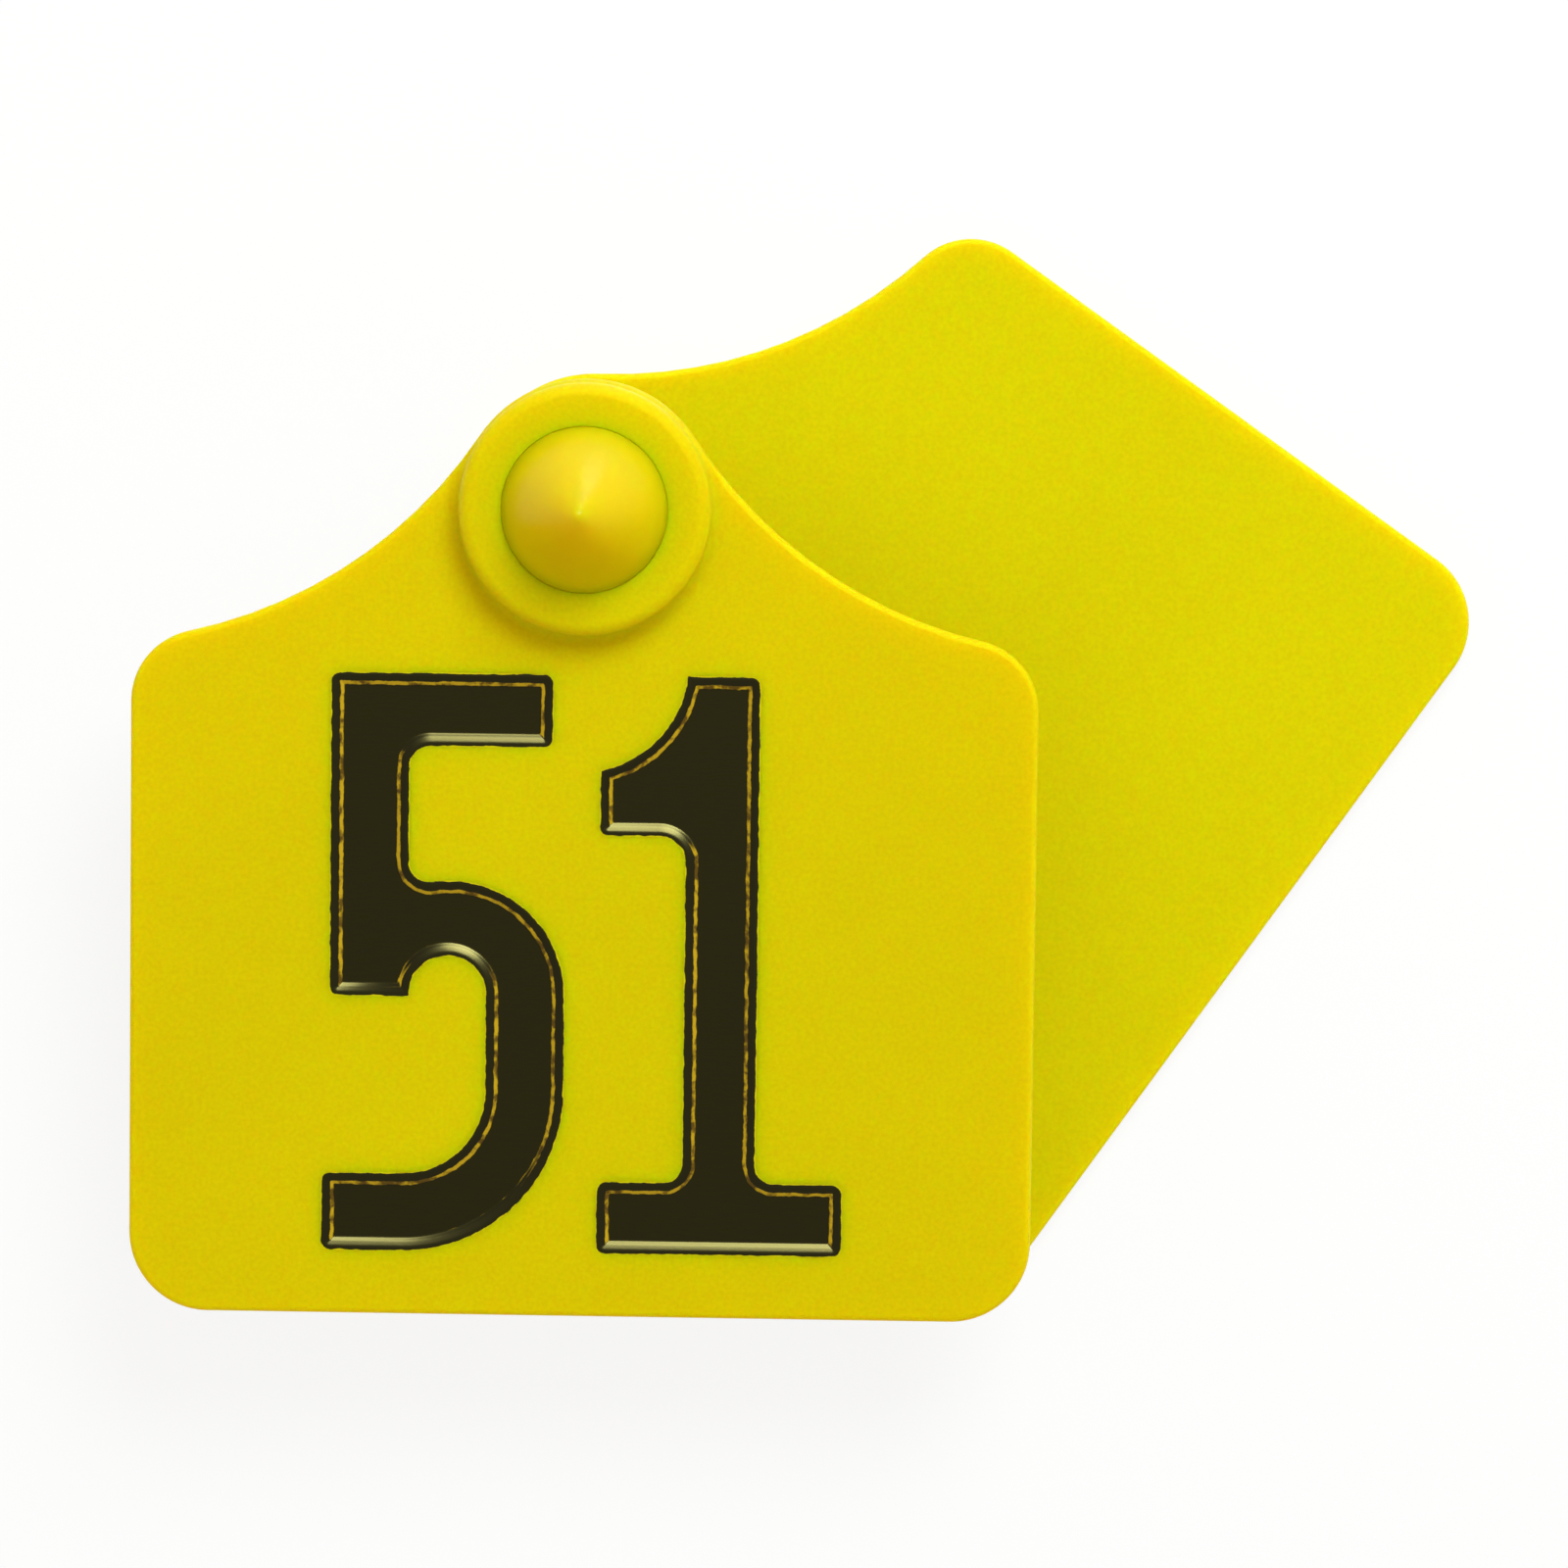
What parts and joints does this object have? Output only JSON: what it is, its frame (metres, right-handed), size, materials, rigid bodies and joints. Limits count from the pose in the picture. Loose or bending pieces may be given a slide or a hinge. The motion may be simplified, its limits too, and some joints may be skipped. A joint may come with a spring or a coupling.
{
  "type": "livestock ear tag",
  "caption": "Closed two-piece livestock ear tag: a flat panel with black numerals and a raised ring swivels on the pointed stud of a matching rear panel.",
  "frame": {"origin": "centre of the stem's applicator-pin hole, at the rear panel's back face", "axes": "+Z along the stem towards the pointed tip, and the front panel hangs towards -Y"},
  "size_m": [0.0848, 0.0682, 0.0228],
  "materials": {
    "panel_plastic": "yellow polyurethane, satin, finely grained",
    "tip_plastic": "hard deep-yellow plastic, polished",
    "numeral_foil": "black hot-stamped foil, satin"
  },
  "bodies": {
    "male_half": {"rear_panel": "panel_plastic", "stud_tip": "tip_plastic"},
    "female_half": {"front_panel": "panel_plastic", "numeral_five": "numeral_foil", "numeral_one": "numeral_foil"}
  },
  "joints": [
    {"name": "swivel", "type": "hinge", "parent": "male_half", "child": "female_half", "pos_m": [0, 0, 0], "axis": [0, 0, 1], "continuous": true}
  ]
}
